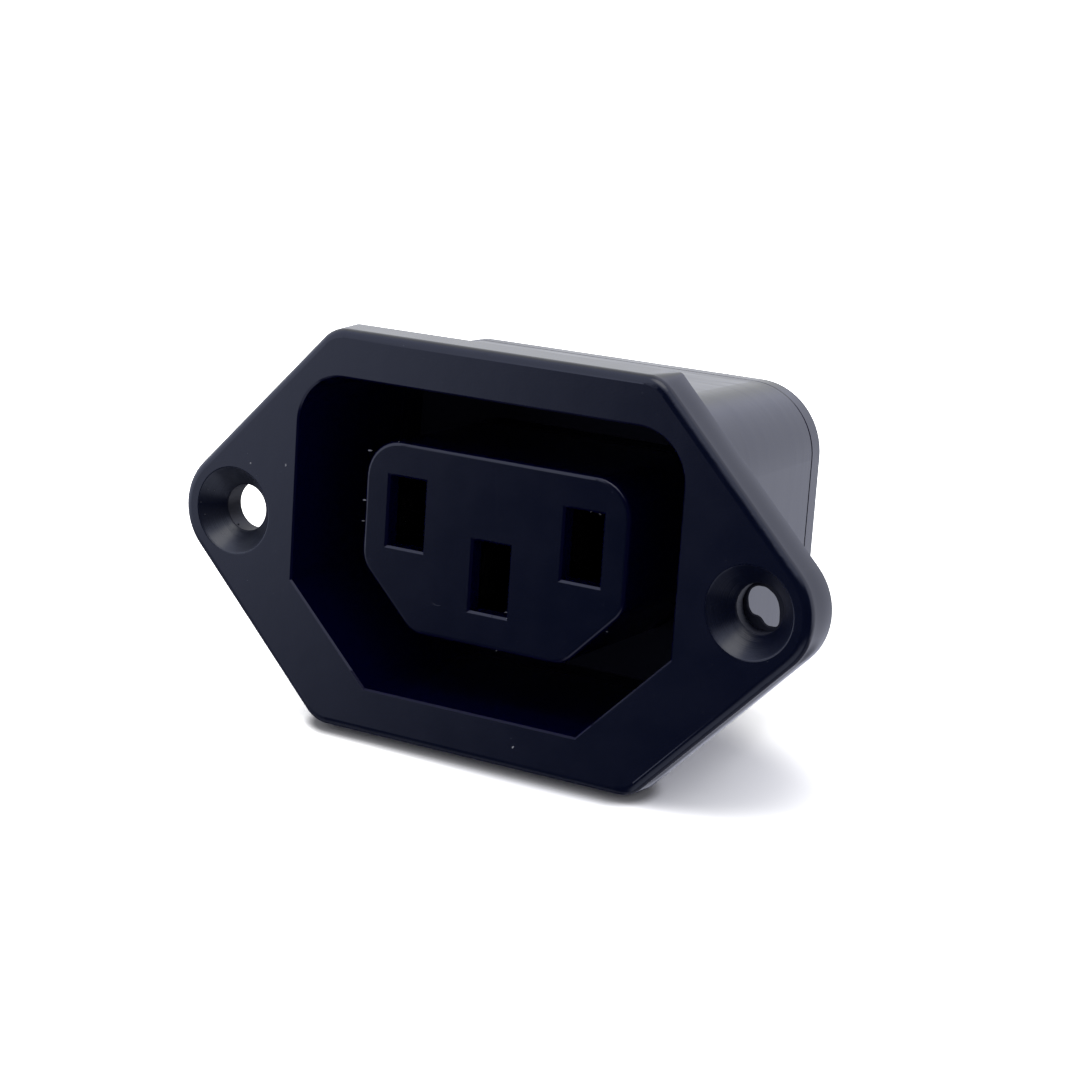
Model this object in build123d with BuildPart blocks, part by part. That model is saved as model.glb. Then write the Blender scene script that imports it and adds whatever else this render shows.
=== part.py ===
"""Panel-mounted three-pin appliance outlet with a hexagonal two-screw flange.

The outlet faces -Y and Z is up. The origin is midway between the two screw holes, on the
flange's rear face, which is the face that seats on the panel. Lengths are in millimetres.
"""

import os
from math import atan2, asin, degrees, hypot, radians, tan

from build123d import *

# Flange
screw_spacing = 40.0
flange_thickness = 3.1
flange_height = 27.6
flange_flat = 25.0
flange_tip_radius = 4.25
flange_front_corner_radius = 2.8
flange_rear_corner_radius = 0.5
flange_edge_radius = 0.6
screw_hole_diameter = 3.3
countersink_diameter = 6.1
countersink_angle = 82.0

# Shroud: the outer body behind the flange
shroud_width = 31.75
shroud_height = 23.6
shroud_corner_radius = 5.0
shroud_lower_chamfer = 7.0
shroud_draft = 0.8
body_depth = 18.9

# Recess that takes the mating plug, and the tongue that stands in it
opening_width = 29.64
opening_height = 21.1
opening_corner_radius = 3.5
opening_lower_chamfer = 6.5
opening_edge_break = 0.12
recess_draft = 0.25
tongue_width = 20.55
tongue_height = 13.0
tongue_corner_radius = 2.7
tongue_lower_chamfer = 4.3
tongue_lower_radius = 2.0
tongue_setback = 1.8
tongue_edge_radius = 0.3

# Contact positions and the slots in the tongue's face
line_to_neutral = 13.75
contact_centre_height = 1.65
earth_drop = 3.32
slot_width = 2.9
slot_height = 4.88
slot_lead_in = 0.15
slot_wall = 1.2

# Recess floor, and the ledge where each contact's shoulders seat
recess_floor_thickness = 1.2
ledge_depth = 1.6

# Rear cover
cover_thickness = 1.6
cover_spigot_depth = 0.6
cover_pocket_depth = 0.7
cover_rim_wall = 1.3
cover_clearance = 0.1
seam_chamfer = 0.08
cover_edge_chamfer = 0.3

# Contacts, each folded from one strip of sheet
sheet_thickness = 0.8
jaw_height = 4.3
jaw_corner_radius = 0.8
jaw_pinch_gap = 1.5
jaw_mouth_gap = 2.7
jaw_body_gap = 2.5
jaw_pinch_share = 0.375
jaw_spring_radius = 2.5
bridge_length = 3.0
bridge_rise = 0.45
bridge_bend_radius = 0.6
joggle_radius = 0.9
joggle_to_shoulder = 0.75
shoulder_step = 1.0
tab_width = 4.8
tab_reach = 8.2
tab_hole_diameter = 1.4
tab_hole_from_tip = 3.2
tab_tip_chamfer = 1.0
tab_tip_bevel = 0.25

# Clearances about the contacts
mouth_clearance = 0.3
chamber_side_clearance = 0.25
chamber_end_clearance = 0.4
shoulder_clearance = 0.1
tab_slot_clearance = 0.1

# Chambers and ledges that follow from the contacts
chamber_width = jaw_mouth_gap + 2 * (sheet_thickness + chamber_side_clearance)
chamber_height = jaw_height + 2 * (bridge_rise + chamber_end_clearance)
shoulder_height = tab_width + 2 * shoulder_step
ledge_height = shoulder_height + 2 * shoulder_clearance

# Depths along Y that follow from the sizes above
front_y = -flange_thickness
tongue_face_y = front_y + tongue_setback
chamber_front_y = tongue_face_y + slot_wall
rear_y = front_y + body_depth
seam_y = rear_y - cover_thickness
pocket_floor_y = seam_y - cover_pocket_depth
recess_floor_y = pocket_floor_y - recess_floor_thickness
ledge_y = pocket_floor_y - ledge_depth
spigot_y = seam_y - cover_spigot_depth

half_pitch = line_to_neutral / 2
earth_centre_height = contact_centre_height - earth_drop
contact_places = {
    "line_contact": (half_pitch, contact_centre_height),
    "neutral_contact": (-half_pitch, contact_centre_height),
    "earth_contact": (0.0, earth_centre_height),
}


def section(y, x=0.0, z=0.0):
    """Upright plane at depth y, facing the front, with its sketch axes along X and Z."""
    return Plane(origin=(x, y, z), x_dir=(1, 0, 0), z_dir=(0, -1, 0))


def flange_outline(corner_radius):
    """Hexagon with two level sides and a round tip about each screw hole."""
    corner_x = flange_flat / 2
    corner_z = flange_height / 2
    tip_x = screw_spacing / 2
    to_tip = hypot(tip_x - corner_x, corner_z)
    turn = degrees(atan2(corner_z, tip_x - corner_x) - asin(flange_tip_radius / to_tip))
    centre_x = corner_x - corner_radius * tan(radians(turn / 2))
    centre_z = corner_z - corner_radius
    with BuildSketch() as outline:
        with GridLocations(screw_spacing, 0, 2, 1):
            Circle(flange_tip_radius)
        with GridLocations(2 * centre_x, 2 * centre_z, 2, 2):
            Circle(corner_radius)
        make_hull()
    return outline.sketch


def socket_outline(width, height, corner_radius, lower_chamfer, lower_radius=0):
    """Rectangle with round upper corners and both lower corners cut at 45 degrees."""
    with BuildSketch() as outline:
        Rectangle(width, height)
        chamfer(outline.vertices().group_by(Axis.Y)[0], length=lower_chamfer)
        if lower_radius:
            fillet(outline.vertices().group_by(Axis.Y)[0:2], radius=lower_radius)
        fillet(outline.vertices().group_by(Axis.Y)[-1], radius=corner_radius)
    return outline.sketch


def shroud_outline(inset):
    """The shroud's outer outline, drawn in by the given distance."""
    return offset(shroud_at_flange, amount=-inset, kind=Kind.INTERSECTION, mode=Mode.PRIVATE)


shroud_at_flange = socket_outline(shroud_width, shroud_height, shroud_corner_radius, shroud_lower_chamfer)
seam_inset = seam_y * tan(radians(shroud_draft))
opening = socket_outline(opening_width, opening_height, opening_corner_radius, opening_lower_chamfer)
tongue = socket_outline(
    tongue_width, tongue_height, tongue_corner_radius, tongue_lower_chamfer, tongue_lower_radius
)
flange_front = flange_outline(flange_front_corner_radius)
flange_rear = flange_outline(flange_rear_corner_radius)

# Housing: flange, shroud, recess floor and tongue in one moulding
with BuildPart() as housing:
    with BuildSketch(section(front_y)):
        add(flange_front)
    with BuildSketch(section(0)):
        add(flange_rear)
    loft(ruled=True)
    fillet(housing.faces().sort_by(Axis.Y)[0].edges(), radius=flange_edge_radius)

    with BuildSketch(section(0)):
        add(shroud_at_flange)
    extrude(amount=-seam_y, taper=shroud_draft)
    chamfer(housing.faces().sort_by(Axis.Y)[-1].edges(), length=seam_chamfer)

    with BuildSketch(section(front_y)):
        add(opening)
    extrude(amount=front_y - recess_floor_y, taper=recess_draft, mode=Mode.SUBTRACT)
    front_face = housing.faces().sort_by(Axis.Y)[0]
    chamfer(front_face.inner_wires()[0].edges(), length=opening_edge_break)

    with BuildSketch(section(tongue_face_y)):
        add(tongue)
    extrude(amount=tongue_face_y - recess_floor_y, taper=-recess_draft)
    tongue_face = housing.faces().filter_by(Axis.Y).filter_by_position(Axis.Y, tongue_face_y, tongue_face_y)
    fillet(tongue_face.edges(), radius=tongue_edge_radius)

    with BuildSketch(section(seam_y)):
        add(shroud_outline(seam_inset + cover_rim_wall))
    extrude(amount=cover_pocket_depth, mode=Mode.SUBTRACT)

    for place_x, place_z in contact_places.values():
        with BuildSketch(section(tongue_face_y, place_x, place_z)):
            Rectangle(slot_width, slot_height)
        extrude(amount=tongue_face_y - pocket_floor_y, mode=Mode.SUBTRACT)
        with BuildSketch(section(tongue_face_y, place_x, place_z)):
            Rectangle(slot_width + 2 * slot_lead_in, slot_height + 2 * slot_lead_in)
        extrude(amount=-slot_lead_in, taper=45, mode=Mode.SUBTRACT)
        with BuildSketch(section(chamber_front_y, place_x, place_z)):
            Rectangle(chamber_width, chamber_height)
        extrude(amount=chamber_front_y - pocket_floor_y, mode=Mode.SUBTRACT)
        with BuildSketch(section(ledge_y, place_x, place_z)):
            Rectangle(chamber_width, ledge_height)
        extrude(amount=ledge_y - pocket_floor_y, mode=Mode.SUBTRACT)

    with Locations(section(front_y)):
        with GridLocations(screw_spacing, 0, 2, 1):
            CounterSinkHole(
                radius=screw_hole_diameter / 2,
                counter_sink_radius=countersink_diameter / 2,
                depth=flange_thickness,
                counter_sink_angle=countersink_angle,
            )
housing.part.label = "housing"

# Rear cover: plate with a locating spigot and one slot for each tab
with BuildPart() as rear_cover:
    with BuildSketch(section(seam_y)):
        add(shroud_outline(seam_inset))
    extrude(amount=-cover_thickness, taper=shroud_draft)
    chamfer(rear_cover.faces().sort_by(Axis.Y)[0].edges(), length=seam_chamfer)
    chamfer(rear_cover.faces().sort_by(Axis.Y)[-1].edges(), length=cover_edge_chamfer)
    with BuildSketch(section(seam_y)):
        add(shroud_outline(seam_inset + cover_rim_wall + cover_clearance))
    extrude(amount=cover_spigot_depth)
    for place_x, place_z in contact_places.values():
        with BuildSketch(section(rear_y, place_x, place_z)):
            Rectangle(sheet_thickness + 2 * tab_slot_clearance, tab_width + 2 * tab_slot_clearance)
        extrude(amount=cover_thickness + cover_spigot_depth, mode=Mode.SUBTRACT)
rear_cover.part.label = "rear_cover"


def folded_contact(x, z):
    """Spring socket and rear tab, folded from one strip, about the pin's axis at (x, z)."""
    mouth_y = chamber_front_y + mouth_clearance
    shoulder_y = ledge_y + shoulder_clearance
    shoulder_end_y = spigot_y - shoulder_clearance
    axis_y = shoulder_y - joggle_to_shoulder
    tip_y = rear_y + tab_reach
    mouth_x = (jaw_mouth_gap + sheet_thickness) / 2
    pinch_x = (jaw_pinch_gap + sheet_thickness) / 2
    body_x = (jaw_body_gap + sheet_thickness) / 2
    joggle_y = axis_y - body_x
    bridge_y = joggle_y - bridge_length
    pinch_y = mouth_y + jaw_pinch_share * (bridge_y - mouth_y)
    bridge_z = jaw_height / 2 + bridge_rise - sheet_thickness / 2
    plan = Plane(origin=(x, 0, z), x_dir=(1, 0, 0), z_dir=(0, 0, 1))
    side = Plane(origin=(x, 0, z), x_dir=(0, 1, 0), z_dir=(1, 0, 0))

    # The strip's outline before folding, seen from the side
    with BuildSketch(side) as blank:
        with Locations((mouth_y, 0)):
            Rectangle(axis_y - mouth_y, jaw_height, align=(Align.MIN, Align.CENTER))
        fillet(blank.vertices().group_by(Axis.X)[0], radius=jaw_corner_radius)
        with Locations((axis_y, 0)):
            Rectangle(shoulder_end_y - axis_y, jaw_height, align=(Align.MIN, Align.CENTER))
        with Locations((shoulder_y, 0)):
            Rectangle(shoulder_end_y - shoulder_y, shoulder_height, align=(Align.MIN, Align.CENTER))
        with Locations((shoulder_y, 0)):
            Rectangle(tip_y - shoulder_y, tab_width, align=(Align.MIN, Align.CENTER))
        chamfer(blank.vertices().group_by(Axis.X)[-1], length=tab_tip_chamfer)
        with Locations((tip_y - tab_hole_from_tip, 0)):
            Circle(tab_hole_diameter / 2, mode=Mode.SUBTRACT)

    with BuildPart() as contact:
        # Fixed jaw, joggled back to the pin's axis where it becomes the tab
        with BuildSketch(plan):
            with BuildLine():
                FilletPolyline(
                    (-mouth_x, mouth_y),
                    (-pinch_x, pinch_y),
                    (-body_x, bridge_y),
                    (-body_x, joggle_y),
                    (0, axis_y),
                    (0, tip_y),
                    radius=[jaw_spring_radius, jaw_spring_radius, joggle_radius, joggle_radius],
                )
            trace(line_width=sheet_thickness)
        # Facing jaw, which ends with the bridge
        with BuildSketch(plan):
            with BuildLine():
                FilletPolyline(
                    (mouth_x, mouth_y),
                    (pinch_x, pinch_y),
                    (body_x, bridge_y),
                    (body_x, joggle_y),
                    radius=jaw_spring_radius,
                )
            trace(line_width=sheet_thickness)
        extrude(amount=shoulder_height, both=True)
        extrude(blank.sketch, amount=chamber_width, both=True, mode=Mode.INTERSECT)
        tip_edges = contact.faces().sort_by(Axis.Y)[-1].edges().filter_by(Axis.Z)
        chamfer(tip_edges, length=tab_tip_bevel)
        # Bridge over the top that carries the facing jaw
        with BuildSketch(section(bridge_y, x, z)):
            with BuildLine():
                FilletPolyline(
                    (-body_x, 0),
                    (-body_x, bridge_z),
                    (body_x, bridge_z),
                    (body_x, 0),
                    radius=bridge_bend_radius,
                )
            trace(line_width=sheet_thickness)
        extrude(amount=-bridge_length)
    return contact.part


os.makedirs("parts", exist_ok=True)
export_step(housing.part, "parts/housing.step")
export_step(rear_cover.part, "parts/rear_cover.step")
for node, (place_x, place_z) in contact_places.items():
    contact_part = folded_contact(place_x, place_z)
    contact_part.label = node
    export_step(contact_part, f"parts/{node}.step")
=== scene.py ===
"""Studio picture of a black panel-mounted appliance outlet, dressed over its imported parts.

The outlet faces -Y with +Z up, and its origin is midway between the two screw holes on the
flange's rear face. It leans back on the flange's lower edge and the shroud's rear edge, so the
floor is tipped under it instead of the outlet being moved. Lengths are in metres. "Across",
"along" and "up" are X, Y and Z.
"""

import logging
import math
from dataclasses import dataclass
from enum import Enum
from typing import Any

import bmesh
import bpy
from mathutils import Matrix, Vector, noise


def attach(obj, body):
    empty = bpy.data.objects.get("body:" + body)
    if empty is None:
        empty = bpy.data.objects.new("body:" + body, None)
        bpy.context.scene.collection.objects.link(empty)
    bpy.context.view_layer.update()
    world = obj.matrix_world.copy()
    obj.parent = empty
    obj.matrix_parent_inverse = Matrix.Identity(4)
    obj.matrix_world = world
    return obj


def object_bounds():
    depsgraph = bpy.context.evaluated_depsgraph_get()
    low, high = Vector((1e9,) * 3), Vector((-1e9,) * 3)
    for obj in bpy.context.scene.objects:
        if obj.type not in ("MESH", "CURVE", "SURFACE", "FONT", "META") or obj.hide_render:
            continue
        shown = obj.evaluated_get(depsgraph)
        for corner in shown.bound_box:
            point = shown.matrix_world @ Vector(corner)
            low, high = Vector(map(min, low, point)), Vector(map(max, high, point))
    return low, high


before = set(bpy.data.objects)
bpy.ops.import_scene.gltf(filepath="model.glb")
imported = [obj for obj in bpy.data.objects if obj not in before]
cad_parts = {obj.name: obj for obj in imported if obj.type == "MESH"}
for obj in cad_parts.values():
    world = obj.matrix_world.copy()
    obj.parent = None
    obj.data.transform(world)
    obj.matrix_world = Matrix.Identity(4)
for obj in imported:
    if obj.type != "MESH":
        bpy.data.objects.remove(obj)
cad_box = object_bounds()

MM = 0.001
ROOT_BODY = "root"

log = logging.getLogger("outlet")

Colour = tuple[float, float, float]
Point = tuple[float, float, float]
Pair = tuple[float, float]


class Value:
    """A number socket of a shader tree, on which arithmetic adds Math nodes."""

    def __init__(self, sheet: "ShaderSheet", socket: bpy.types.NodeSocket) -> None:
        """Wraps one output socket.

        Args:
            sheet: The shader tree that the socket belongs to.
            socket: The output socket.
        """
        self.sheet = sheet
        self.socket = socket

    def _maths(self, operation: str, *values: Any) -> "Value":
        """Adds one Math node and returns its result."""
        node = self.sheet.add("ShaderNodeMath", {"operation": operation}, dict(enumerate(values)))
        return Value(self.sheet, node.outputs[0])

    def __add__(self, other: Any) -> "Value":
        """Sum of this value and another."""
        return self._maths("ADD", self, other)

    def __radd__(self, other: Any) -> "Value":
        """Sum of a number and this value."""
        return self._maths("ADD", other, self)

    def __sub__(self, other: Any) -> "Value":
        """Difference of this value and another."""
        return self._maths("SUBTRACT", self, other)

    def __rsub__(self, other: Any) -> "Value":
        """Difference of a number and this value."""
        return self._maths("SUBTRACT", other, self)

    def __mul__(self, other: Any) -> "Value":
        """Product of this value and another."""
        return self._maths("MULTIPLY", self, other)

    def __truediv__(self, other: Any) -> "Value":
        """Quotient of this value and another."""
        return self._maths("DIVIDE", self, other)

    def __abs__(self) -> "Value":
        """Size of this value without its sign."""
        return self._maths("ABSOLUTE", self)

    def higher(self, other: Any) -> "Value":
        """The larger of this value and another."""
        return self._maths("MAXIMUM", self, other)

    def below(self, other: Any) -> "Value":
        """1 where this value is the smaller, else 0."""
        return self._maths("LESS_THAN", self, other)

    def arctan2(self, other: Any) -> "Value":
        """Angle whose sine goes as this value and whose cosine goes as the other."""
        return self._maths("ARCTAN2", self, other)

    def rise(self, low: float, high: float) -> "Value":
        """Smooth step from 0 at low to 1 at high, or from 1 to 0 where low is the larger.

        Args:
            low: Value at which the step starts.
            high: Value at which the step ends.

        Returns:
            The step, between 0 and 1.
        """
        reversed_step = low > high
        node = self.sheet.add(
            "ShaderNodeMapRange",
            {"interpolation_type": "SMOOTHSTEP"},
            {
                "Value": self,
                "From Min": min(low, high),
                "From Max": max(low, high),
                "To Min": 1.0 if reversed_step else 0.0,
                "To Max": 0.0 if reversed_step else 1.0,
            },
        )
        return Value(self.sheet, node.outputs["Result"])


class NodeSheet:
    """Adds and links nodes in one node tree."""

    def __init__(self, tree: bpy.types.NodeTree) -> None:
        """Empties the tree and keeps it.

        Args:
            tree: The node tree of a material, a world or a geometry group.
        """
        self.tree = tree
        tree.nodes.clear()

    def add(
        self,
        kind: str,
        settings: dict[str, Any] | None = None,
        inputs: dict[Any, Any] | None = None,
    ) -> bpy.types.Node:
        """Adds one node.

        Args:
            kind: The node's type name.
            settings: Properties of the node.
            inputs: Values or links of its sockets, by name or number.

        Returns:
            The new node.
        """
        node = self.tree.nodes.new(kind)
        for name, setting in (settings or {}).items():
            setattr(node, name, setting)
        for name, value in (inputs or {}).items():
            socket = node.inputs[name]
            if isinstance(value, Value):
                self.tree.links.new(value.socket, socket)
            elif isinstance(value, bpy.types.NodeSocket):
                self.tree.links.new(value, socket)
            elif isinstance(value, tuple) and len(value) == 3 and socket.type == "RGBA":
                socket.default_value = (*value, 1.0)
            else:
                socket.default_value = value
        return node


class ShaderSheet(NodeSheet):
    """Adds nodes in a shader tree, with short forms for the ones that the finishes share."""

    def axes(self, vector: bpy.types.NodeSocket) -> tuple[Value, Value, Value]:
        """Splits a vector into its X, Y and Z values."""
        node = self.add("ShaderNodeSeparateXYZ", inputs={0: vector})
        return tuple(Value(self, output) for output in node.outputs)

    def point(self, across: Any, along: Any, up: Any) -> bpy.types.NodeSocket:
        """Joins three values into a vector."""
        return self.add("ShaderNodeCombineXYZ", inputs={0: across, 1: along, 2: up}).outputs[0]

    def length(self, across: Any, along: Any, up: Any) -> Value:
        """Length of the vector with the given X, Y and Z.

        Args:
            across: Its X.
            along: Its Y.
            up: Its Z.

        Returns:
            The length.
        """
        settings = {"operation": "LENGTH"}
        node = self.add("ShaderNodeVectorMath", settings, {0: self.point(across, along, up)})
        return Value(self, node.outputs["Value"])

    def noise(self, vector: bpy.types.NodeSocket, size: float, detail: float = 2.0) -> Value:
        """Soft noise whose blotches are about as wide as the given size.

        Args:
            vector: The coordinates that it follows.
            size: Width of a blotch, in metres.
            detail: Octaves of finer noise.

        Returns:
            The noise, about 0.5 on average.
        """
        inputs = {"Vector": vector, "Scale": 1 / size, "Detail": detail}
        return Value(self, self.add("ShaderNodeTexNoise", inputs=inputs).outputs[0])

    def blend(self, factor: Any, first: Any, second: Any) -> bpy.types.NodeSocket:
        """Mixes two colours.

        Args:
            factor: Share of the second colour.
            first: Colour or link at factor 0.
            second: Colour or link at factor 1.

        Returns:
            The mixed colour's socket.
        """
        node = self.add("ShaderNodeMix", {"data_type": "RGBA"}, {0: factor, 6: first, 7: second})
        return node.outputs[2]

    def mix(self, factor: Any, first: Any, second: Any) -> bpy.types.NodeSocket:
        """Mixes two shaders, the second as far as the factor says."""
        return self.add("ShaderNodeMixShader", inputs={0: factor, 1: first, 2: second}).outputs[0]

    def bump(self, height: Value) -> bpy.types.NodeSocket:
        """Normal of a surface with the given height in metres."""
        inputs = {"Strength": 1.0, "Distance": 1.0, "Height": height}
        return self.add("ShaderNodeBump", inputs=inputs).outputs[0]

    def end(self, surface: bpy.types.NodeSocket, kind: str = "Material") -> None:
        """Ends a material or a world with its surface."""
        self.add(f"ShaderNodeOutput{kind}", inputs={"Surface": surface})

    def end_principled(self, inputs: dict[str, Any]) -> None:
        """Ends a material with one Principled shader of the given inputs."""
        self.end(self.add("ShaderNodeBsdfPrincipled", inputs=inputs).outputs[0])


class Spot:
    """Place of the shaded point on its own object."""

    def __init__(self, sheet: ShaderSheet) -> None:
        """Reads the point's object coordinates.

        Args:
            sheet: The material's tree.
        """
        self.sheet = sheet
        self.place = sheet.add("ShaderNodeTexCoord").outputs["Object"]
        self.across, self.along, self.up = sheet.axes(self.place)


def new_sheet(name: str) -> tuple[bpy.types.Material, ShaderSheet]:
    """Makes an empty node material.

    Args:
        name: The material's name.

    Returns:
        The material and the sheet that adds its nodes.
    """
    material = bpy.data.materials.new(name)
    material.use_nodes = True
    return material, ShaderSheet(material.node_tree)


@dataclass(frozen=True)
class TongueFace:
    """The tongue's face, turned slightly out of true, with a faint knit line.

    The two ends of the knit line are given across and up.
    """

    reach: Point = (10.3 * MM, 1.8 * MM, 6.6 * MM)
    edge: float = -1.285 * MM
    turn: float = math.radians(2.3)
    knit_top: Pair = (-0.09 * MM, 6.12 * MM)
    knit_foot: Pair = (0.31 * MM, 1.72 * MM)
    knit_fade: float = 0.8
    knit_width: float = 0.09 * MM
    knit_depth: float = 0.0014 * MM

    def front(self, spot: Spot) -> Value:
        """1 on the face itself, else 0."""
        beside = abs(spot.across).below(self.reach[0])
        return beside * abs(spot.up).below(self.reach[2]) * spot.along.below(self.edge)

    def height(self, spot: Spot) -> Value:
        """Height that turns the face, less the depth of the knit line.

        Args:
            spot: The shaded point.

        Returns:
            The height in metres.
        """
        beside = abs(spot.across).below(self.reach[0])
        within = abs(spot.along).below(self.reach[1])
        level = abs(spot.up).below(self.reach[2])
        turned = beside * within * level * spot.across * -math.tan(self.turn)
        slope = (self.knit_foot[0] - self.knit_top[0]) / (self.knit_foot[1] - self.knit_top[1])
        off_line = abs(spot.across - self.knit_top[0] - (spot.up - self.knit_top[1]) * slope)
        middle = (self.knit_top[1] + self.knit_foot[1]) / 2
        half = (self.knit_top[1] - self.knit_foot[1]) / 2
        faded = abs(spot.up - middle).rise(half, half * self.knit_fade)
        return turned - off_line.rise(self.knit_width, 0.0) * faded * within * self.knit_depth


@dataclass(frozen=True)
class DarkRecess:
    """The recess, painted darker and bluer than the rest of the moulding as painted shade, with a
    matt floor and a matt lower edge at its opening.

    Its outline is a core, given by half its width and height, with a rounded border and two
    lower corners cut off. The lip, the opening's lower edge, is given along and up.
    """

    # Painted shade: the recess and tongue sides are coloured darker and bluer than the moulding's
    # own colour.
    colour: Colour = (0.0006, 0.0008, 0.0200)
    core: Pair = (10.9 * MM, 6.8 * MM)
    border: float = 4.5 * MM
    cut: float = 19.5 * MM
    front: float = 3.095 * MM
    deep: Pair = (9.0 * MM, 12.2 * MM)
    deep_roughness: float = 0.60
    lip: Pair = (-2.96 * MM, -9.5 * MM)
    lip_roughness: float = 0.65

    def inside(self, spot: Spot, tongue_front: Value) -> Value:
        """1 in the recess and on the tongue's sides, else 0.

        Args:
            spot: The shaded point.
            tongue_front: 1 on the tongue's face, which is left out.

        Returns:
            The recess's share, 0 or 1.
        """
        past_side = (abs(spot.across) - self.core[0]).higher(0.0)
        past_top = (abs(spot.up) - self.core[1]).higher(0.0)
        return (
            spot.sheet.length(past_side, 0.0, past_top).below(self.border)
            * (0 - spot.along).below(self.front)
            * (abs(spot.across) - spot.up).below(self.cut)
            * (1 - tongue_front)
        )

    def roughness(self, spot: Spot, in_recess: Value) -> Value:
        """Roughness that the floor and the lower edge add.

        Args:
            spot: The shaded point.
            in_recess: 1 in the recess, else 0.

        Returns:
            The added roughness.
        """
        floor = in_recess * spot.along.rise(*self.deep)
        lip = in_recess * spot.along.below(self.lip[0]) * spot.up.below(self.lip[1])
        return floor * self.deep_roughness + lip * self.lip_roughness


@dataclass(frozen=True)
class ScrewHoles:
    """The two countersunk holes, with the fine turned rings of the mould's pins.

    The left cone is painted lighter above and below the hole, as a painted highlight.
    """

    place: float = 20.0 * MM
    cone_radius: float = 3.04 * MM
    cone_end: float = -1.4 * MM
    cone_roughness: float = 0.10
    bore_radius: float = 1.7 * MM
    bore_roughness: float = 0.35
    ring_size: float = 0.07 * MM
    ring_depth: float = 0.014 * MM
    rim_width: float = 0.07 * MM
    rim_depth: float = 0.014 * MM
    # Painted highlight: the left cone's upper and lower parts are painted this lighter colour.
    painted_highlight_colour: Colour = (0.032, 0.036, 0.052)
    painted_highlight_spread: Pair = (0.2, 0.6)

    def masks(self, spot: Spot) -> tuple[Value, Value, Value]:
        """Finds the holes.

        Args:
            spot: The shaded point.

        Returns:
            The distance from the nearer hole's axis, then 1 in a bore and 1 on a cone.
        """
        distance = spot.sheet.length(abs(spot.across) - self.place, 0.0, spot.up)
        in_bore = distance.below(self.bore_radius)
        in_cone = distance.below(self.cone_radius) * (1 - in_bore) * spot.along.below(self.cone_end)
        return distance, in_bore, in_cone

    def height(self, spot: Spot, distance: Value, in_cone: Value) -> Value:
        """Height of the turned rings, less the fine groove round the rim.

        Args:
            spot: The shaded point.
            distance: Its distance from the nearer hole's axis.
            in_cone: 1 on a cone, else 0.

        Returns:
            The height in metres.
        """
        rings = spot.sheet.noise(spot.sheet.point(distance, 0.0, 0.0), self.ring_size, detail=1.0)
        rim = abs(distance - self.cone_radius).rise(self.rim_width, 0.0)
        groove = rim * spot.along.below(self.cone_end)
        return in_cone * rings * self.ring_depth - groove * self.rim_depth

    def painted_highlight(self, spot: Spot, distance: Value, in_cone: Value, mottle: Value) -> Value:
        """Share of the painted highlight on the left cone, strongest above and below the hole."""
        left_cone = in_cone * spot.across.below(0.0)
        return left_cone * abs(spot.up) / distance * mottle.rise(*self.painted_highlight_spread)


@dataclass(frozen=True)
class FlangeSides:
    """The slight rounding of the flange's right-hand sides, none at its front face."""

    turn: float = math.tan(math.radians(15))
    depth: float = 3.1 * MM
    start: Pair = (11.0 * MM, 14.0 * MM)

    def height(self, spot: Spot, open_face: Value) -> Value:
        """Height that rounds the sides, where the open face's share is 1.

        Args:
            spot: The shaded point.
            open_face: 1 away from the recess and the holes, else 0.

        Returns:
            The height in metres.
        """
        past_front = (self.depth**2 - spot.along * spot.along).higher(0.0)
        rounded = past_front * past_front * (self.turn / (3 * self.depth**3))
        return rounded * open_face * spot.across.rise(*self.start) * spot.along.below(0.0)


@dataclass(frozen=True)
class ShroudStreaks:
    """Faint streaks on the shroud, parallel to the flange."""

    size: float = 0.9 * MM
    stretch: float = 0.14
    start: float = 0.1 * MM
    roughness: float = 0.30
    depth: float = 0.008 * MM

    def strength(self, spot: Spot, in_recess: Value) -> Value:
        """Strength of the streaks, about zero on average and zero off the shroud.

        Args:
            spot: The shaded point.
            in_recess: 1 in the recess, else 0.

        Returns:
            The strength.
        """
        across, up = spot.across * self.stretch, spot.up * self.stretch
        streak = spot.sheet.noise(spot.sheet.point(across, spot.along, up), self.size, detail=3.0)
        return (1 - spot.along.below(self.start)) * (1 - in_recess) * (streak - 0.5)


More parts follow.
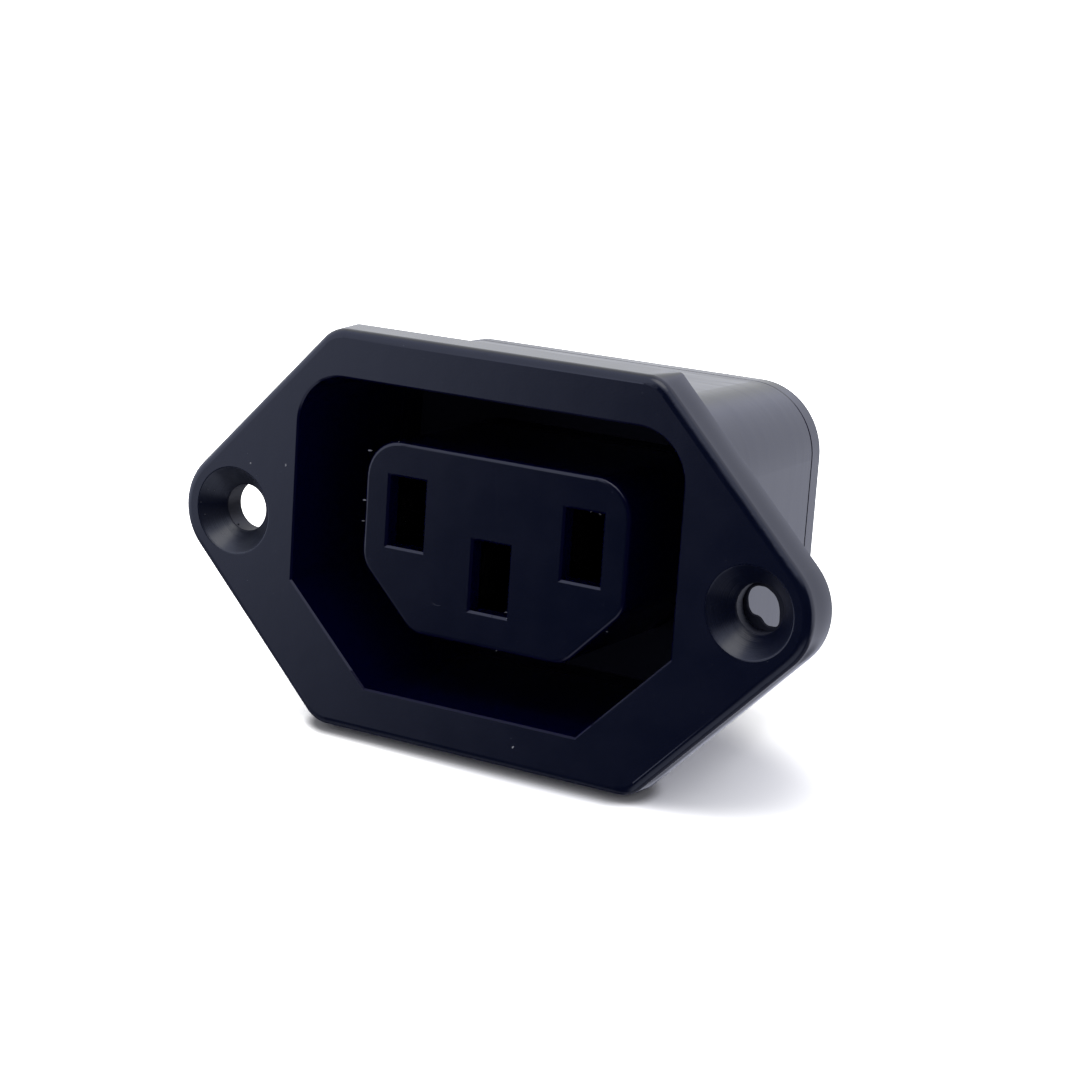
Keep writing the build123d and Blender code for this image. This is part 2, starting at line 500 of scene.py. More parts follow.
@dataclass(frozen=True)
class MouldedPlastic:
    """Satin moulded plastic with a spark-eroded grain and slow mottling, with painted shade in the
    recess and a painted highlight on the left screw cone.
    """

    name: str = "black_moulding"
    colour: Colour = (0.0019, 0.0038, 0.0165)
    mottle_colour: Colour = (0.0027, 0.0046, 0.0180)
    mottle_size: float = 2.6 * MM
    mottle_spread: Pair = (0.35, 0.65)
    roughness: float = 0.18
    roughness_spread: float = 0.05
    grain_size: float = 0.16 * MM
    grain_depth: float = 0.0010 * MM
    wave_size: float = 1.9 * MM
    wave_depth: float = 0.004 * MM
    refraction: float = 1.5
    tongue: TongueFace = TongueFace()
    recess: DarkRecess = DarkRecess()
    holes: ScrewHoles = ScrewHoles()
    sides: FlangeSides = FlangeSides()
    streaks: ShroudStreaks = ShroudStreaks()

    def material(self) -> bpy.types.Material:
        """Builds the material, with what is particular to each part of the moulding.

        Returns:
            The material.
        """
        material, sheet = new_sheet(self.name)
        spot = Spot(sheet)
        mottle = sheet.noise(spot.place, self.mottle_size)
        grain = sheet.noise(spot.place, self.grain_size, detail=1.0)
        wave = sheet.noise(spot.place, self.wave_size, detail=1.0)
        in_recess = self.recess.inside(spot, self.tongue.front(spot))
        distance, in_bore, in_cone = self.holes.masks(spot)
        near_hole = distance.below(self.holes.cone_radius + 2 * self.holes.rim_width)
        open_face = (1 - near_hole) * (1 - in_recess)
        streaks = self.streaks.strength(spot, in_recess)
        # Painted highlight on the left cone, laid over the mottled plastic.
        painted_highlight = self.holes.painted_highlight(spot, distance, in_cone, mottle)
        clean = sheet.blend(mottle.rise(*self.mottle_spread), self.colour, self.mottle_colour)
        clean_with_highlight = sheet.blend(painted_highlight, clean, self.holes.painted_highlight_colour)
        height = (
            grain * self.grain_depth
            + wave * self.wave_depth
            + self.tongue.height(spot)
            + self.sides.height(spot, open_face)
            + streaks * self.streaks.depth
            + self.holes.height(spot, distance, in_cone)
        )
        roughness = (
            self.roughness
            + (mottle - 0.5) * self.roughness_spread
            + streaks * self.streaks.roughness
            + self.recess.roughness(spot, in_recess)
            + in_cone * self.holes.cone_roughness
            + in_bore * self.holes.bore_roughness
        )
        # Base colour: the mottled plastic, with the painted highlight on the left cone and the
        # painted shade in the recess.
        sheet.end_principled(
            {
                "Base Color": sheet.blend(in_recess, clean_with_highlight, self.recess.colour),
                "Roughness": roughness,
                "IOR": self.refraction,
                "Normal": sheet.bump(height),
            }
        )
        return material


@dataclass(frozen=True)
class TinnedStrip:
    """Rolled, stamped and tin-plated contact strip, dulled a little by handling, with painted shade
    on the jaws inside the housing.
    """

    name: str = "contact_strip"
    colour: Colour = (0.42, 0.41, 0.40)
    tarnish_colour: Colour = (0.20, 0.19, 0.18)
    tarnish_size: float = 1.8 * MM
    tarnish_spread: Pair = (0.45, 0.75)
    roughness: float = 0.26
    streak_roughness: float = 0.2
    tarnish_roughness: float = 0.1
    dull_spread: Pair = (0.4, 0.8)
    grain_width: float = 0.05 * MM
    grain_length: float = 2.5 * MM
    # Painted shade: the jaws deep in the housing are coloured darker than the plated tabs behind
    # it.
    shaded_jaw_colour: Colour = (0.10, 0.097, 0.093)
    jaw_place: Pair = (14.0 * MM, 9.0 * MM)

    def material(self) -> bpy.types.Material:
        """Builds the material, with its rolling grain along the strip and painted shade on the
        jaws.

        Returns:
            The material.
        """
        material, sheet = new_sheet(self.name)
        spot = Spot(sheet)
        shrink = (1.0, self.grain_width / self.grain_length, 1.0)
        stretched = sheet.add("ShaderNodeMapping", inputs={"Vector": spot.place, "Scale": shrink})
        streak = sheet.noise(stretched.outputs[0], self.grain_width, detail=1.0)
        tarnish = sheet.noise(spot.place, self.tarnish_size, detail=3.0)
        plated = sheet.blend(tarnish.rise(*self.tarnish_spread), self.colour, self.tarnish_colour)
        # Painted shade towards the front, where the strip lies inside the housing.
        jaws = spot.along.rise(*self.jaw_place)
        sheet.end_principled(
            {
                "Base Color": sheet.blend(jaws, plated, self.shaded_jaw_colour),
                "Metallic": 1.0,
                "Roughness": self.roughness
                + (streak - 0.5) * self.streak_roughness
                + tarnish.rise(*self.dull_spread) * self.tarnish_roughness,
            }
        )
        return material


@dataclass(frozen=True)
class TornBits:
    """Matt, uneven finish of dust, or of flash that whitened where it tore."""

    name: str
    colour: Colour
    pale_colour: Colour
    patch_size: float = 0.06 * MM
    patch_spread: Pair = (0.35, 0.65)
    roughness: float = 0.55
    patch_gloss: float = 0.2
    bump_depth: float = 0.004 * MM

    def material(self) -> bpy.types.Material:
        """Builds the material, with pale patches that are also a little smoother.

        Returns:
            The material.
        """
        material, sheet = new_sheet(self.name)
        patch = sheet.noise(Spot(sheet).place, self.patch_size)
        whitened = patch.rise(*self.patch_spread)
        sheet.end_principled(
            {
                "Base Color": sheet.blend(whitened, self.colour, self.pale_colour),
                "Roughness": self.roughness - patch * self.patch_gloss,
                "Normal": sheet.bump(patch * self.bump_depth),
            }
        )
        return material


@dataclass(frozen=True)
class PaleFloor:
    """White floor that keeps a soft shadow and shows as clean white where nothing shades it.

    To the camera it carries a painted contact shadow where the flange touches it, and is painted
    brighter far from the shadow, which fades the rendered shadow.
    """

    name: str = "pale_floor"
    bounce: Colour = (0.80, 0.80, 0.80)
    shown: Colour = (1.84, 1.85, 1.97)
    # Painted light: brighter far from the shadow's centre, and darker along the flange's foot as a
    # painted contact shadow.
    painted_bright_away: Colour = (3.6, 3.6, 3.6)
    painted_contact_shadow: Colour = (0.62, 0.62, 0.65)
    touch_half: float = 11.0 * MM
    touch_centre: Pair = (-0.2 * MM, -1.0 * MM)
    touch: Pair = (1.9 * MM, 3.2 * MM)
    away: Pair = (5.5 * MM, 10.8 * MM)
    shadow_centre: Pair = (6.6 * MM, 3.4 * MM)
    squeeze: float = 0.45

    def shown_colour(self, spot: Spot) -> bpy.types.NodeSocket:
        """Colour of the floor as the camera sees it, with the painted contact shadow and the
        painted brightening away from the shadow.

        Args:
            spot: The shaded point.

        Returns:
            The colour's socket.
        """
        sheet = spot.sheet
        beside = (spot.across - self.shadow_centre[0]) * self.squeeze
        distance = sheet.length(beside, spot.along - self.shadow_centre[1], 0.0)
        open_floor = sheet.blend(distance.rise(*self.away), self.shown, self.painted_bright_away)
        past_end = (abs(spot.across - self.touch_centre[0]) - self.touch_half).higher(0.0)
        from_touch = sheet.length(past_end, spot.along - self.touch_centre[1], 0.0)
        return sheet.blend(from_touch.rise(*self.touch), self.painted_contact_shadow, open_floor)

    def material(self) -> bpy.types.Material:
        """Builds the material; from below, the floor isn't seen.

        Returns:
            The material.
        """
        material, sheet = new_sheet(self.name)
        camera_ray = sheet.add("ShaderNodeLightPath").outputs["Is Camera Ray"]
        from_below = sheet.add("ShaderNodeNewGeometry").outputs["Backfacing"]
        plain = sheet.add("ShaderNodeBsdfDiffuse", inputs={"Color": self.bounce}).outputs[0]
        colour = self.shown_colour(Spot(sheet))
        shown = sheet.add("ShaderNodeBsdfDiffuse", inputs={"Color": colour}).outputs[0]
        clear = sheet.add("ShaderNodeBsdfTransparent").outputs[0]
        sheet.end(sheet.mix(camera_ray, plain, sheet.mix(from_below, shown, clear)))
        return material


def degrees(first: float, second: float) -> Pair:
    """Two angles given in degrees, in radians."""
    return math.radians(first), math.radians(second)


@dataclass(frozen=True)
class PaintedRoom:
    """Surroundings: white to the camera, painted for reflections, and even as light.

    The paint is given by direction, as the three parts of a unit vector and as the angle to the
    side, which is zero straight in front of the outlet and grows to the left. A pair is where
    a patch's edge starts and ends.
    """

    dark: Colour = (0.008, 0.010, 0.030)
    wall: Colour = (0.98, 1.06, 1.38)
    rear_wall: Colour = (1.24, 1.28, 1.52)
    rear_left_wall: Colour = (0.97, 0.99, 1.02)
    rear_left_across: Pair = (-0.05, -0.33)
    rear_left_up: Pair = (-0.12, 0.22)
    left_front: Pair = degrees(26, 41)
    left_front_slant: float = 0.5
    left_front_shift: float = 0.113
    right_front: Pair = degrees(-76, -92)
    overhead: Pair = (0.45, 0.80)
    overhead_across: Pair = (-0.35, 0.10)
    overhead_left_level: float = 0.35
    floor_fade: Pair = (-0.50, -0.12)
    floor_level: float = 0.15
    below: Pair = (-0.45, -0.70)
    below_right_end: Pair = degrees(-80, -62)
    below_left_end: Pair = degrees(20, -10)
    below_level: float = 0.50
    behind: Pair = degrees(85, 120)
    under_across: Pair = (-0.15, -0.35)
    under_up: Pair = (0.12, -0.08)
    under_loss: float = 0.95
    floor_behind: Pair = (-0.62, -0.48)
    lamp_colour: Colour = (3.0, 3.05, 3.2)
    lamp_towards: Point = (0.10, -0.31, 0.945)
    lamp_edge: Pair = degrees(25, 10)
    white: Colour = (1.0, 1.0, 1.0)
    soft_level: float = 0.55
    seen_level: float = 1.0
    mirrored_level: float = 1.0

    def _lit(self, across: Value, up: Value, side: Value, behind: Value) -> Value:
        """Share of lit wall in a direction.

        Args:
            across: The direction's X.
            up: The direction's Z.
            side: Its angle to the side.
            behind: 1 behind the outlet, 0 in front of it.

        Returns:
            The share, from 0 to 1.
        """
        slanted = side + up * self.left_front_slant + self.left_front_shift
        left_front = slanted.rise(*self.left_front)
        right_front = side.rise(*self.right_front)
        left_level = self.overhead_left_level
        from_left = across.rise(*self.overhead_across) * (1 - left_level)
        overhead = up.rise(*self.overhead) * (left_level + from_left)
        clear_of_floor = up.rise(*self.floor_fade) * (1 - self.floor_level) + self.floor_level
        below_right = side.rise(*self.below_right_end) * side.rise(*self.below_left_end)
        below_front = up.rise(*self.below) * below_right * self.below_level
        under = across.rise(*self.under_across) * up.rise(*self.under_up) * behind
        floor_behind = behind * up.rise(*self.floor_behind)
        lit = left_front.higher(right_front).higher(overhead) * clear_of_floor
        return lit.higher(below_front).higher(floor_behind) * (1 - under * self.under_loss)

    def _mirrored(self, sheet: ShaderSheet) -> bpy.types.NodeSocket:
        """Colour of the surroundings in reflections.

        Args:
            sheet: The world's tree.

        Returns:
            The colour's socket.
        """
        direction = sheet.add("ShaderNodeTexCoord").outputs["Generated"]
        across, along, up = sheet.axes(direction)
        side = (0 - across).arctan2(0 - along)
        behind = abs(side).rise(*self.behind)
        rear_left = across.rise(*self.rear_left_across) * up.rise(*self.rear_left_up)
        rear_wall = sheet.blend(rear_left, self.rear_wall, self.rear_left_wall)
        wall = sheet.blend(behind, self.wall, rear_wall)
        painted = sheet.blend(self._lit(across, up, side, behind), self.dark, wall)
        towards = self.lamp_towards
        facing_lamp = across * towards[0] + along * towards[1] + up * towards[2]
        lamp = facing_lamp.rise(*(math.cos(angle) for angle in self.lamp_edge))
        return sheet.blend(lamp, painted, self.lamp_colour)

    def build(self) -> None:
        """Makes the world and gives it to the scene."""
        world = bpy.data.worlds.new("studio")
        bpy.context.scene.world = world
        world.use_nodes = True
        world.cycles.sampling_method = "NONE"
        sheet = ShaderSheet(world.node_tree)
        ray = sheet.add("ShaderNodeLightPath").outputs
        lights = []
        for colour, level in (
            (self.white, self.soft_level),
            (self.white, self.seen_level),
            (self._mirrored(sheet), self.mirrored_level),
        ):
            inputs = {"Color": colour, "Strength": level}
            lights.append(sheet.add("ShaderNodeBackground", inputs=inputs).outputs[0])
        soft, seen, mirrored = lights
        unseen = sheet.mix(ray["Is Glossy Ray"], soft, mirrored)
        sheet.end(sheet.mix(ray["Is Camera Ray"], unseen, seen), "World")


def add_object(name: str, data: bpy.types.ID) -> bpy.types.Object:
    """Puts a mesh, a lamp or a camera into the scene.

    Args:
        name: The object's name.
        data: What it shows.

    Returns:
        The new object.
    """
    made = bpy.data.objects.new(name, data)
    bpy.context.scene.collection.objects.link(made)
    return made


@dataclass(frozen=True)
class PhotoCamera:
    """Camera fitted to the outlet: it looks from the outlet's front right, and from above."""

    name: str = "photo_camera"
    turn: float = 0.5205
    tip: float = 0.2168
    roll: float = 0.0670
    place: Point = (-4.2095 * MM, 1.2405 * MM, 168.3398 * MM)
    lens: float = 85.228
    sensor: float = 36.0
    clip: Pair = (0.01, 50.0)
    front_y: float = -3.1 * MM

    def build(self) -> bpy.types.Object:
        """Makes the camera and gives it to the scene.

        Returns:
            The camera object.
        """
        turned = (
            Matrix.Rotation(self.roll, 4, "Z")
            @ Matrix.Rotation(self.tip, 4, "X")
            @ Matrix.Rotation(self.turn, 4, "Y")
        )
        down_forward = Matrix(((1, 0, 0, 0), (0, 0, -1, 0), (0, 1, 0, -self.front_y), (0, 0, 0, 1)))
        up_backward = Matrix.Diagonal((1, -1, -1, 1))
        data = bpy.data.cameras.new(self.name)
        data.lens = self.lens
        data.sensor_width = self.sensor
        data.clip_start, data.clip_end = self.clip
        camera = add_object(self.name, data)
        shift = Matrix.Translation(self.place)
        camera.matrix_world = (up_backward @ shift @ turned @ down_forward).inverted()
        bpy.context.scene.camera = camera
        return camera


@dataclass(frozen=True)
class Studio:
    """Camera, floor, lamp and surroundings."""

    camera: PhotoCamera = PhotoCamera()
    room: PaintedRoom = PaintedRoom()
    floor_finish: PaleFloor = PaleFloor()
    floor_radius: float = 1.2
    floor_sides: int = 96
    floor_gap: float = 0.02 * MM
    shroud_from: float = 1.0 * MM
    key_power: float = 0.45
    key_size: float = 0.34
    key_place: Point = (-0.05, -0.07, 0.50)

    def lean(self) -> float:
        """Angle by which the outlet leans back, from the flange's lower edge to the shroud's.

        Returns:
            The angle in radians.
        """
        lowest = cad_box[0].z
        slopes = [
            (vertex.co.z - lowest) / vertex.co.y
            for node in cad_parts.values()
            for vertex in node.data.vertices
            if vertex.co.y > self.shroud_from
        ]
        return math.atan(min(slopes))

    def build_floor(self) -> bpy.types.Object:
        """Makes the floor, tipped to meet the outlet's two lower edges.

        Returns:
            The floor object.
        """
        mesh = bpy.data.meshes.new("floor")
        disc = bmesh.new()
        bmesh.ops.create_circle(
            disc, cap_ends=True, segments=self.floor_sides, radius=self.floor_radius
        )
        disc.to_mesh(mesh)
        disc.free()
        mesh.materials.append(self.floor_finish.material())
        floor = add_object("floor", mesh)
        lean = self.lean()
        foot = Matrix.Translation((0, 0, cad_box[0].z - self.floor_gap))
        floor.matrix_world = foot @ Matrix.Rotation(lean, 4, "X")
        floor.visible_glossy = False
        log.info("floor: the outlet leans back by %.2f degrees", math.degrees(lean))
        return floor

    def build_key(self) -> bpy.types.Object:
        """Makes the soft lamp above, a little to the left.

        Returns:
            The lamp object.
        """
        data = bpy.data.lights.new("key_softbox", "AREA")
        data.shape = "SQUARE"
        data.size = self.key_size
        data.energy = self.key_power
        lamp = add_object("key_softbox", data)
        lamp.location = self.key_place
        lamp.rotation_euler = (-Vector(self.key_place)).to_track_quat("-Z", "Y").to_euler()
        lamp.visible_glossy = False
        return lamp

    def build(self) -> None:
        """Makes the camera, the floor, the lamp and the surroundings."""
        bpy.context.scene.view_settings.view_transform = "Standard"
        self.camera.build()
        self.build_floor()
        self.build_key()
        self.room.build()


class GroupSheet(NodeSheet):
    """Adds nodes in a geometry group that makes one dressed mesh."""

    def __init__(self, name: str, sockets: dict[str, str]) -> None:
        """Makes the group, with one more input for the finish.

        Args:
            name: The group's name.
            sockets: Kind of each input, by name.
        """
        super().__init__(bpy.data.node_groups.new(name, "GeometryNodeTree"))
        face = self.tree.interface
        for socket, kind in (sockets | {"Finish": "Material"}).items():
            face.new_socket(socket, in_out="INPUT", socket_type=f"NodeSocket{kind}")
        face.new_socket("Result", in_out="OUTPUT", socket_type="NodeSocketGeometry")
        self.given = self.add("NodeGroupInput").outputs

    def vector(self, operation: str, first: Any, second: Any) -> bpy.types.NodeSocket:
        """Adds vector maths.

        Args:
            operation: What is done.
            first: The first vector.
            second: The second vector, or a number for SCALE.

        Returns:
            The resulting vector.
        """
        other = "Scale" if operation == "SCALE" else 1
        node = self.add("ShaderNodeVectorMath", {"operation": operation}, {0: first, other: second})
        return node.outputs["Vector"]

    def compare(self, operation: str, first: Any, second: Any) -> bpy.types.NodeSocket:
        """Compares two numbers."""
        settings = {"data_type": "FLOAT", "operation": operation}
        return self.add("FunctionNodeCompare", settings, {0: first, 1: second}).outputs[0]

    def random(self, low: Point, high: Point) -> bpy.types.NodeSocket:
        """Random vector for each point, from the group's seed.

        Args:
            low: Its lowest parts.
            high: Its highest parts.

        Returns:
            The vector.
        """
        settings = {"data_type": "FLOAT_VECTOR"}
        inputs = {0: low, 1: high, "Seed": self.given["Seed"]}
        return self.add("FunctionNodeRandomValue", settings, inputs).outputs[0]

    def ball(self, subdivisions: int) -> bpy.types.NodeSocket:
        """Ball of unit width."""
        inputs = {"Radius": 0.5, "Subdivisions": subdivisions}
        return self.add("GeometryNodeMeshIcoSphere", inputs=inputs).outputs["Mesh"]

    def strew(self, points: Any, bit: Any, turn: Any, scale: Any) -> bpy.types.NodeSocket:
        """Puts a copy of the bit at each point, as real geometry.

        Args:
            points: The points.
            bit: What is copied.
            turn: Rotation at each point.
            scale: Scale at each point.

        Returns:
            The copies.
        """
        inputs = {"Points": points, "Instance": bit, "Rotation": turn, "Scale": scale}
        placed = self.add("GeometryNodeInstanceOnPoints", inputs=inputs)
        return self.add("GeometryNodeRealizeInstances", inputs={0: placed.outputs[0]}).outputs[0]

    def end(self, geometry: bpy.types.NodeSocket) -> None:
        """Gives the geometry its finish and ends the group with it.

        Args:
            geometry: The finished mesh.
        """
        inputs = {"Geometry": geometry, "Material": self.given["Finish"]}
        dressed = self.add("GeometryNodeSetMaterial", inputs=inputs)
        self.add("NodeGroupOutput", inputs={"Result": dressed.outputs[0]})

    def run(self, piece: bpy.types.Object, settings: dict[str, Any]) -> bpy.types.Object:
        """Runs the group on a piece and keeps the result as the piece's mesh.

        Args:
            piece: The piece that the group works on.
            settings: Values of the group's inputs, by name.

        Returns:
            The piece.
        """
        modifier = piece.modifiers.new(self.tree.name, "NODES")
        modifier.node_group = self.tree
        for item in self.tree.interface.items_tree:
            if item.item_type == "SOCKET" and item.name in settings:
                modifier[item.identifier] = settings[item.name]
        evaluated = bpy.context.evaluated_depsgraph_get()
        source = piece.data
        mesh = bpy.data.meshes.new_from_object(piece.evaluated_get(evaluated), depsgraph=evaluated)
        piece.modifiers.remove(modifier)
        piece.data = mesh
        bpy.data.meshes.remove(source)
        mesh.name = piece.name
        return piece


class Fleck(Enum):
    """Kinds of small bits on the mouldings, each with its length, thickness and width."""

    DUST = (1.0, 0.55, 0.8)
    CURL = (0.35, 0.35, 1.4)
    GRIT = (1.0, 0.7, 1.0)


@dataclass(frozen=True)
class Flecks:
    """Small crumpled bits at chosen places, given in millimetres, all of one kind."""

    name: str
    kind: Fleck
    places: tuple[Point, ...]
    size: float
    seed: int = 3
    crumple: float = 0.55
    lumps: float = 2.4
    smallest: float = 0.7
    largest: float = 1.3
    ball_cuts: int = 3

    def _group(self) -> GroupSheet:
        """Makes the group that turns each point into one bit.

        Returns:
            The group.
        """
        sockets = {"Points": "Geometry", "Size": "Float", "Shape": "Vector", "Crumple": "Float"}
        sheet = GroupSheet("crumbs", sockets | {"Seed": "Int"})
        place = sheet.add("GeometryNodeInputPosition").outputs[0]
        inputs = {"Vector": place, "Scale": self.lumps, "Detail": 1.0}
        clouds = sheet.add("ShaderNodeTexNoise", inputs=inputs).outputs["Color"]
        centred = sheet.vector("SUBTRACT", clouds, (0.5, 0.5, 0.5))
        push = sheet.vector("SCALE", centred, sheet.given["Crumple"])
        inputs = {"Geometry": sheet.ball(self.ball_cuts), "Offset": push}
        bit = sheet.add("GeometryNodeSetPosition", inputs=inputs).outputs[0]
        turn = sheet.random((0.0, 0.0, 0.0), (math.tau, math.tau, math.tau))
        grow = sheet.random((self.smallest,) * 3, (self.largest,) * 3)
        shape = sheet.vector("MULTIPLY", grow, sheet.given["Shape"])
        scale = sheet.vector("SCALE", shape, sheet.given["Size"])
        sheet.end(sheet.strew(sheet.given["Points"], bit, turn, scale))
        return sheet

    def build(self, finish: bpy.types.Material) -> bpy.types.Object:
        """Makes the bits as one piece.

        Args:
            finish: Their material.

        Returns:
            The piece.
        """
        mesh = bpy.data.meshes.new(self.name)
        mesh.from_pydata([Vector(place) * MM for place in self.places], [], [])
        settings = {"Size": self.size, "Shape": self.kind.value, "Crumple": self.crumple}
        settings |= {"Seed": self.seed, "Finish": finish}
        return self._group().run(add_object(self.name, mesh), settings)


@dataclass(frozen=True)
class StrayDust:
    """Fine dust scattered thinly over the forward faces near the front."""

    name: str = "stray_dust"
    density: float = 0.09 / MM**2
    size: float = 0.045 * MM
    smallest: Point = (0.4, 0.4, 0.4)
    largest: Point = (1.2, 1.0, 1.2)
    facing: float = 0.6
    front: float = -1.2 * MM
    ball_cuts: int = 2
    seed: int = 11

    def _group(self) -> GroupSheet:
        """Makes the group that scatters specks over forward faces.

        Returns:
            The group.
        """
        sockets = {"Surface": "Geometry", "Density": "Float", "Size": "Float", "Facing": "Float"}
        sheet = GroupSheet("scatter", sockets | {"Seed": "Int"})
        normal = sheet.add("GeometryNodeInputNormal").outputs[0]
        inputs = {0: normal, 1: (0.0, -1.0, 0.0)}
        forward = sheet.add("ShaderNodeVectorMath", {"operation": "DOT_PRODUCT"}, inputs)
        faces = sheet.compare("GREATER_THAN", forward.outputs["Value"], sheet.given["Facing"])
        place = sheet.add("GeometryNodeInputPosition").outputs[0]
        along = sheet.add("ShaderNodeSeparateXYZ", inputs={0: place}).outputs["Y"]
        front = sheet.compare("LESS_THAN", along, self.front)
        chosen = sheet.add("FunctionNodeBooleanMath", {"operation": "AND"}, {0: faces, 1: front})
        inputs = {"Mesh": sheet.given["Surface"], "Selection": chosen.outputs[0]}
        inputs |= {name: sheet.given[name] for name in ("Density", "Seed")}
        points = sheet.add("GeometryNodeDistributePointsOnFaces", inputs=inputs).outputs
        grow = sheet.random(self.smallest, self.largest)
        scale = sheet.vector("SCALE", grow, sheet.given["Size"])
        speck = sheet.ball(self.ball_cuts)
        sheet.end(sheet.strew(points["Points"], speck, points["Rotation"], scale))
        return sheet

    def build(self, surface: bpy.types.Object, finish: bpy.types.Material) -> bpy.types.Object:
        """Scatters the dust.

        Args:
            surface: The node whose forward faces carry the dust.
            finish: The dust's material.

        Returns:
            The dust as one piece.
        """
        settings = {"Density": self.density, "Size": self.size, "Facing": self.facing}
        settings |= {"Seed": self.seed, "Finish": finish}
        return self._group().run(add_object(self.name, surface.data.copy()), settings)


@dataclass(frozen=True)
class HoleWeb:
    """Thin flash across the rear of the right screw hole, with a ragged opening in it.

    The opening's outline is in millimetres from the hole's axis, to the right and upward.
    """

    name: str = "hole_web"
    hole: float = 20.0 * MM
    radius: float = 1.64 * MM
    front: float = -0.50 * MM
    thickness: float = 0.26 * MM
    edge_place: float = 0.4
    feather: float = 0.09 * MM
    steps: int = 8
    ragged: float = 0.05 * MM
    ragged_size: float = 0.3 * MM
    smoothing: int = 2
    outline: tuple[Pair, ...] = (
        (0.33, 0.84),
        (-0.20, 1.16),
        (-0.80, 1.16),
        (-1.26, 0.85),
        (-1.40, 0.25),
        (-1.27, -0.33),
        (-0.99, -0.69),
        (-0.47, -0.74),
        (0.02, -1.26),
        (0.70, -1.27),
        (0.90, -0.95),
        (0.84, -0.11),
        (0.66, 0.45),
    )

    def _edge(self) -> list[Vector]:
        """Points along the ragged opening, a little smoothed.

        Returns:
            The points, to the right and up.
        """
        rough = []
        corners = [Vector(corner) * MM for corner in self.outline]
        for start, end in zip(corners, corners[1:] + corners[:1]):
            for step in range(self.steps):
                point = start.lerp(end, step / self.steps)
                spot = Vector((point.x, point.y, 0.0)) / self.ragged_size
                rough.append(point * (1 + noise.noise(spot) * self.ragged / point.length))
        count, reach = len(rough), self.smoothing
        return [
            (rough[place - reach] + rough[place] + rough[(place + reach) % count]) / 3
            for place in range(count)
        ]

    def build(self, finish: bpy.types.Material) -> bpy.types.Object:
        """Makes the web, feathered to a thin edge round its opening.

        Args:
            finish: Its material.

        Returns:
            The piece.
        """
        edge = self._edge()
        rim = [point.normalized() * self.radius for point in edge]
        inner = [point + point.normalized() * self.feather for point in edge]
        back = self.front + self.thickness
        middle = self.front + self.thickness * self.edge_place
        rings = ((rim, self.front), (inner, self.front), (edge, middle), (inner, back), (rim, back))
        shape = bmesh.new()
        made = [
            [shape.verts.new((self.hole + point.x, y, point.y)) for point in ring]
            for ring, y in rings
        ]
        for ring, following in zip(made, made[1:] + made[:1]):
            for place in range(len(edge)):
                after = (place + 1) % len(edge)
                shape.faces.new((ring[place], ring[after], following[after], following[place]))
        bmesh.ops.recalc_face_normals(shape, faces=shape.faces)
        mesh = bpy.data.meshes.new(self.name)
        shape.to_mesh(mesh)
        shape.free()
        mesh.materials.append(finish)
        return add_object(self.name, mesh)


@dataclass(frozen=True)
class MouldMark:
    """Fine raised line on the tongue's face, bent like a hair, in millimetres."""

    name: str = "mould_mark"
    start: Point = (-4.46, -1.30, -3.74)
    bend: Point = (-4.40, -1.30, -4.36)
    end: Point = (-3.66, -1.30, -4.18)
    radius: float = 0.035 * MM
    path_steps: int = 24
    round_steps: int = 10

    def _group(self) -> GroupSheet:
        """Makes the group that draws a tube along a bent line.

        Returns:
            The group.
        """
        sockets = {"Start": "Vector", "Bend": "Vector", "End": "Vector", "Radius": "Float"}
        sheet = GroupSheet("hair", sockets)
        given = sheet.given
        inputs = {"Start": given["Start"], "Middle": given["Bend"], "End": given["End"]}
        inputs |= {"Resolution": self.path_steps}
        path = sheet.add("GeometryNodeCurveQuadraticBezier", inputs=inputs).outputs[0]
        inputs = {"Resolution": self.round_steps, "Radius": given["Radius"]}
        profile = sheet.add("GeometryNodeCurvePrimitiveCircle", inputs=inputs).outputs[0]
        inputs = {"Curve": path, "Profile Curve": profile, "Fill Caps": True}
        sheet.end(sheet.add("GeometryNodeCurveToMesh", inputs=inputs).outputs[0])
        return sheet

    def build(self, finish: bpy.types.Material) -> bpy.types.Object:
        """Makes the line as a thin tube, half sunk in the face.

        Args:
            finish: Its material.

        Returns:
            The piece.
        """
        places = {"Start": self.start, "Bend": self.bend, "End": self.end}
        settings = {name: Vector(place) * MM for name, place in places.items()}
        settings |= {"Radius": self.radius, "Finish": finish}
        piece = add_object(self.name, bpy.data.meshes.new(self.name))
        return self._group().run(piece, settings)


def seat(piece: bpy.types.Object) -> None:
    """Lets a finished piece ride with the outlet.

    Args:
        piece: The piece.
    """
    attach(piece, ROOT_BODY)
    log.info("%s: %d faces", piece.name, len(piece.data.polygons))


def dress(node: str, material: bpy.types.Material) -> None:
    """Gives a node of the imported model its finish.

    Args:
        node: The node's name.
        material: The finish for all of it.
    """
    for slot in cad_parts[node].material_slots:
        slot.material = material
    log.info("%s: finished in %s", node, material.name)


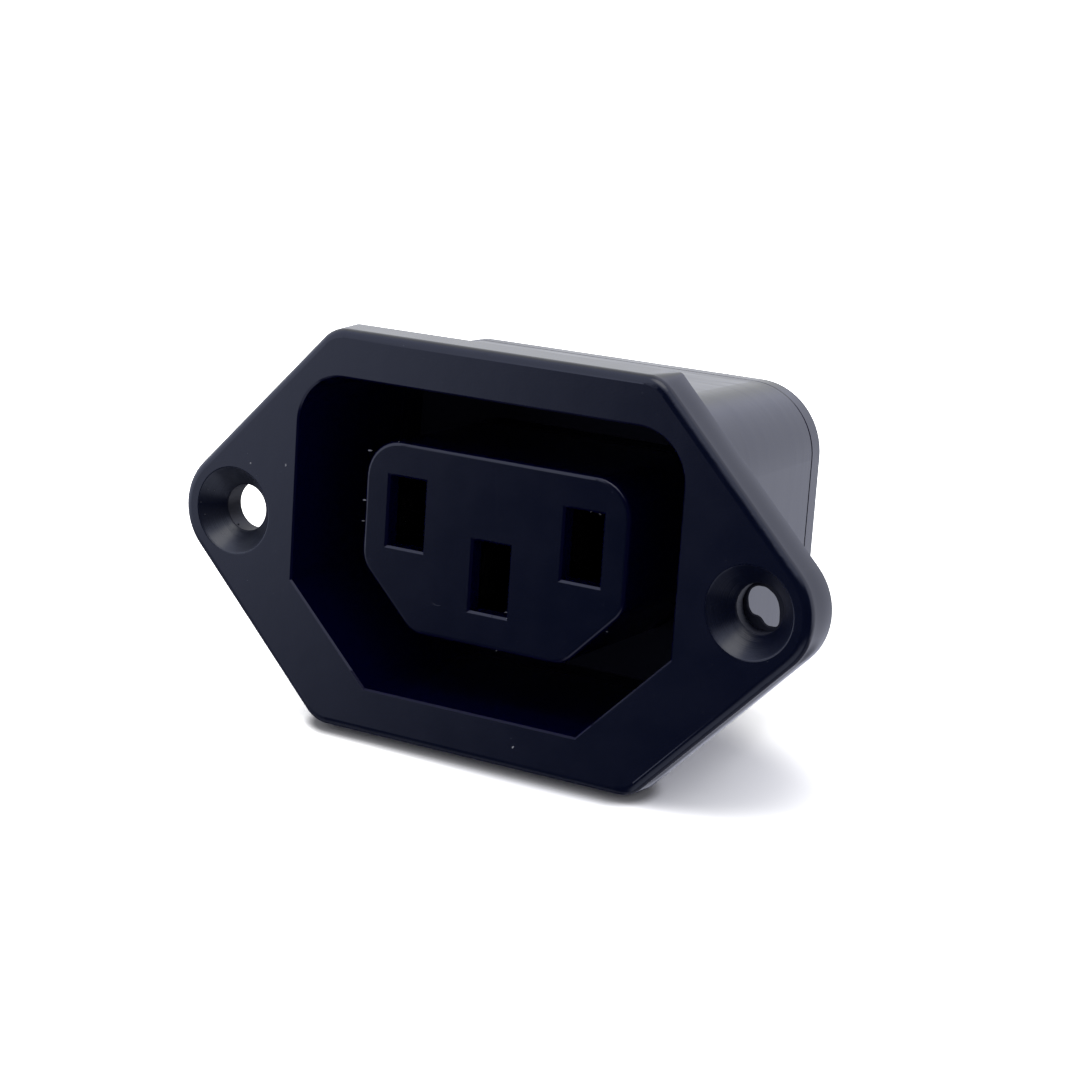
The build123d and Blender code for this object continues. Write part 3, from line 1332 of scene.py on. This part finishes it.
@dataclass(frozen=True)
class Mouldings:
    """The housing and the rear cover, with the flash and the dust on the housing."""

    plastic: MouldedPlastic = MouldedPlastic()
    dust: TornBits = TornBits("pale_dust", (0.20, 0.21, 0.25), (0.42, 0.43, 0.50))
    fine: TornBits = TornBits("fine_dust", (0.07, 0.075, 0.10), (0.17, 0.18, 0.22))
    torn: TornBits = TornBits("whitened_flash", (0.10, 0.105, 0.13), (0.30, 0.31, 0.36))
    bright: Flecks = Flecks(
        "bright_dust",
        Fleck.DUST,
        ((-15.65, -3.12, 3.90), (-18.62, -3.11, 3.58), (3.75, -3.11, -12.15)),
        0.17 * MM,
    )
    hairs: Flecks = Flecks(
        "tongue_hairs",
        Fleck.CURL,
        ((-10.38, -1.10, 2.01), (-10.36, -1.08, 0.55), (-10.12, -1.12, 5.50)),
        0.26 * MM,
        seed=9,
    )
    curls: Flecks = Flecks(
        "slot_curls",
        Fleck.CURL,
        (
            (7.35, -1.27, 4.10),
            (8.02, -1.27, 4.06),
            (0.35, -1.29, -4.12),
            (1.42, -1.22, -3.72),
            (1.62, -1.24, -4.10),
            (-7.80, -1.20, 6.46),
            (0.85, -1.12, -6.45),
            (9.10, -1.15, -3.62),
        ),
        0.14 * MM,
        seed=5,
    )
    specks: Flecks = Flecks(
        "cone_specks",
        Fleck.DUST,
        (
            (-22.53, -2.77, 1.08),
            (-22.22, -2.39, 0.98),
            (-22.92, -2.96, 0.11),
            (-22.66, -2.79, -0.76),
            (-18.69, -2.57, 2.23),
        ),
        0.10 * MM,
        seed=13,
    )
    grit: Flecks = Flecks("bore_grit", Fleck.GRIT, ((-20.83, -1.28, -1.42),), 0.16 * MM)
    stray: StrayDust = StrayDust()
    web: HoleWeb = HoleWeb()
    mark: MouldMark = MouldMark()

    def build(self) -> None:
        """Dresses the two mouldings and adds what is on them."""
        plastic = self.plastic.material()
        dress("housing", plastic)
        dress("rear_cover", plastic)
        dust, fine, torn = (bits.material() for bits in (self.dust, self.fine, self.torn))
        for piece in (
            self.bright.build(dust),
            self.hairs.build(dust),
            self.curls.build(torn),
            self.specks.build(fine),
            self.grit.build(plastic),
            self.stray.build(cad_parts["housing"], fine),
            self.web.build(plastic),
            self.mark.build(plastic),
        ):
            seat(piece)


@dataclass(frozen=True)
class Contacts:
    """The three folded contacts."""

    strip: TinnedStrip = TinnedStrip()
    nodes: tuple[str, ...] = ("line_contact", "neutral_contact", "earth_contact")

    def build(self) -> None:
        """Dresses the contacts."""
        strip = self.strip.material()
        for node in self.nodes:
            dress(node, strip)


def main() -> None:
    """Builds the studio and dresses every piece."""
    logging.basicConfig(level=logging.INFO, format="%(name)s: %(message)s")
    for assembly in (Studio(), Contacts(), Mouldings()):
        assembly.build()


if __name__ == "__main__":
    main()
